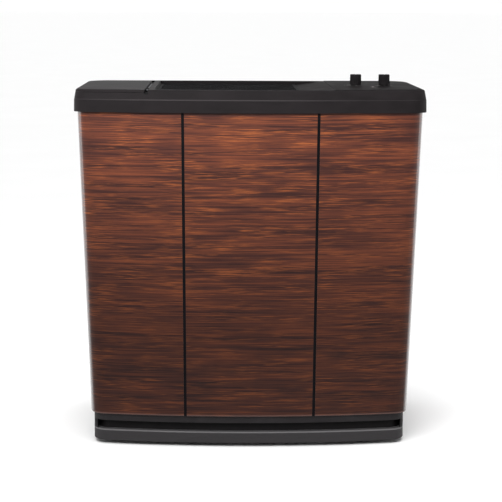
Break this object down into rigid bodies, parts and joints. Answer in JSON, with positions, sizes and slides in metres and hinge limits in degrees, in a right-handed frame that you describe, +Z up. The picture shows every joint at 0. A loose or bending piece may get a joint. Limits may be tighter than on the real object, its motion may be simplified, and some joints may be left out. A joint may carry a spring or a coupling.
{
  "type": "console humidifier",
  "caption": "Console evaporative humidifier: wood-grain cabinet on casters with a lift-off fan deck, hinged fill door, top outlet grille and two control knobs.",
  "frame": {"origin": "on the floor, under the middle of the top cover", "axes": "+X to the right seen from the front, +Y to the back, +Z up"},
  "size_m": [0.6, 0.3599, 0.6367],
  "materials": {
    "wood_grain": "satin wood-grain laminate, horizontal figure",
    "black_plastic": "fine moulded texture, satin",
    "dark_trim": "smooth satin",
    "tub_plastic": "plain moulded",
    "knob_plastic": "fine moulded texture",
    "panel_film": "low-gloss printed film",
    "lamp_plastic": "clear tinted",
    "frame_plastic": "plain moulded, pale",
    "wick_paper": "honeycomb wick",
    "filter_foam": "open-cell foam",
    "float_foam": "closed-cell foam",
    "fan_plastic": "plain moulded",
    "zinc_steel": "zinc plated",
    "screw_steel": "black zinc",
    "motor_paint": "satin black enamel",
    "lamination": "stacked steel",
    "bronze": "sintered bronze",
    "magnet": "plated",
    "lead_sheath": "smooth vinyl",
    "caster_tyre": "hard rubber"
  },
  "bodies": {
    "cabinet": {"plinth_base": "black_plastic", "base_screws": "screw_steel", "reservoir_tub": "tub_plastic", "left_wrap_panel": "wood_grain", "centre_front_panel": "wood_grain", "right_wrap_panel": "wood_grain", "seam_strips": "dark_trim", "back_panel": "black_plastic", "intake_grille": "black_plastic", "filter_tray": "tub_plastic", "air_filter": "filter_foam", "grille_screws": "screw_steel", "wick_base": "frame_plastic", "wick_pad": "wick_paper", "wick_cap": "frame_plastic", "float_guide": "frame_plastic"},
    "top_deck": {"fan_deck": "tub_plastic", "fill_chute": "tub_plastic", "motor_can": "motor_paint", "motor_stator": "lamination", "motor_cap": "motor_paint", "motor_bearing": "bronze", "motor_bracket": "zinc_steel", "bracket_screws": "screw_steel", "top_cover": "black_plastic", "hinge_pin": "screw_steel", "cover_screws": "screw_steel", "outlet_grille": "dark_trim", "control_panel": "panel_film", "speed_switch": "tub_plastic", "humidistat": "tub_plastic", "refill_lamp": "lamp_plastic", "terminal_box": "tub_plastic", "terminal_box_cover": "tub_plastic", "internal_leads": "lead_sheath", "cord_gland": "dark_trim", "level_sensor": "frame_plastic"},
    "fill_door": {"fill_door": "black_plastic"},
    "fan": {"fan_blades": "fan_plastic", "fan_shaft": "zinc_steel", "motor_rotor": "lamination"},
    "speed_control": {"speed_knob": "knob_plastic", "speed_shaft": "zinc_steel"},
    "humidity_control": {"humidity_knob": "knob_plastic", "humidity_shaft": "zinc_steel"},
    "float": {"float_block": "float_foam", "float_rod": "frame_plastic", "float_magnet": "magnet"},
    "caster_front_left": {"caster_fork_front_left": "zinc_steel", "caster_axle_front_left": "screw_steel"},
    "wheel_front_left": {"caster_wheel_front_left": "caster_tyre"},
    "caster_front_right": {"caster_fork_front_right": "zinc_steel", "caster_axle_front_right": "screw_steel"},
    "wheel_front_right": {"caster_wheel_front_right": "caster_tyre"},
    "caster_rear_left": {"caster_fork_rear_left": "zinc_steel", "caster_axle_rear_left": "screw_steel"},
    "wheel_rear_left": {"caster_wheel_rear_left": "caster_tyre"},
    "caster_rear_right": {"caster_fork_rear_right": "zinc_steel", "caster_axle_rear_right": "screw_steel"},
    "wheel_rear_right": {"caster_wheel_rear_right": "caster_tyre"}
  },
  "joints": [
    {"name": "top_deck_lift", "type": "slide", "parent": "cabinet", "child": "top_deck", "axis": [0, 0, 1], "range_m": [0, 0.25]},
    {"name": "fill_door_hinge", "type": "hinge", "parent": "top_deck", "child": "fill_door", "pos_m": [-0.1763, 0.005, 0.6132], "axis": [0, 1, 0], "range_deg": [0, 100]},
    {"name": "fan_spin", "type": "hinge", "parent": "top_deck", "child": "fan", "pos_m": [-0.037, 0, 0.54], "axis": [0, 0, 1], "continuous": true},
    {"name": "speed_knob_turn", "type": "hinge", "parent": "top_deck", "child": "speed_control", "pos_m": [0.1885, 0, 0.625], "axis": [0, 0, -1], "range_deg": [0, 135]},
    {"name": "humidity_knob_turn", "type": "hinge", "parent": "top_deck", "child": "humidity_control", "pos_m": [0.239, 0, 0.625], "axis": [0, 0, -1], "range_deg": [0, 270]},
    {"name": "float_rise", "type": "slide", "parent": "cabinet", "child": "float", "axis": [0, 0, 1], "range_m": [0, 0.11]},
    {"name": "caster_swivel_front_left", "type": "hinge", "parent": "cabinet", "child": "caster_front_left", "pos_m": [-0.222, -0.09, 0.05], "axis": [0, 0, 1], "continuous": true},
    {"name": "wheel_spin_front_left", "type": "hinge", "parent": "caster_front_left", "child": "wheel_front_left", "pos_m": [-0.222, -0.078, 0.017], "axis": [1, 0, 0], "continuous": true},
    {"name": "caster_swivel_front_right", "type": "hinge", "parent": "cabinet", "child": "caster_front_right", "pos_m": [0.222, -0.09, 0.05], "axis": [0, 0, 1], "continuous": true},
    {"name": "wheel_spin_front_right", "type": "hinge", "parent": "caster_front_right", "child": "wheel_front_right", "pos_m": [0.222, -0.078, 0.017], "axis": [1, 0, 0], "continuous": true},
    {"name": "caster_swivel_rear_left", "type": "hinge", "parent": "cabinet", "child": "caster_rear_left", "pos_m": [-0.222, 0.118, 0.05], "axis": [0, 0, 1], "continuous": true},
    {"name": "wheel_spin_rear_left", "type": "hinge", "parent": "caster_rear_left", "child": "wheel_rear_left", "pos_m": [-0.222, 0.13, 0.017], "axis": [1, 0, 0], "continuous": true},
    {"name": "caster_swivel_rear_right", "type": "hinge", "parent": "cabinet", "child": "caster_rear_right", "pos_m": [0.222, 0.118, 0.05], "axis": [0, 0, 1], "continuous": true},
    {"name": "wheel_spin_rear_right", "type": "hinge", "parent": "caster_rear_right", "child": "wheel_rear_right", "pos_m": [0.222, 0.13, 0.017], "axis": [1, 0, 0], "continuous": true}
  ]
}
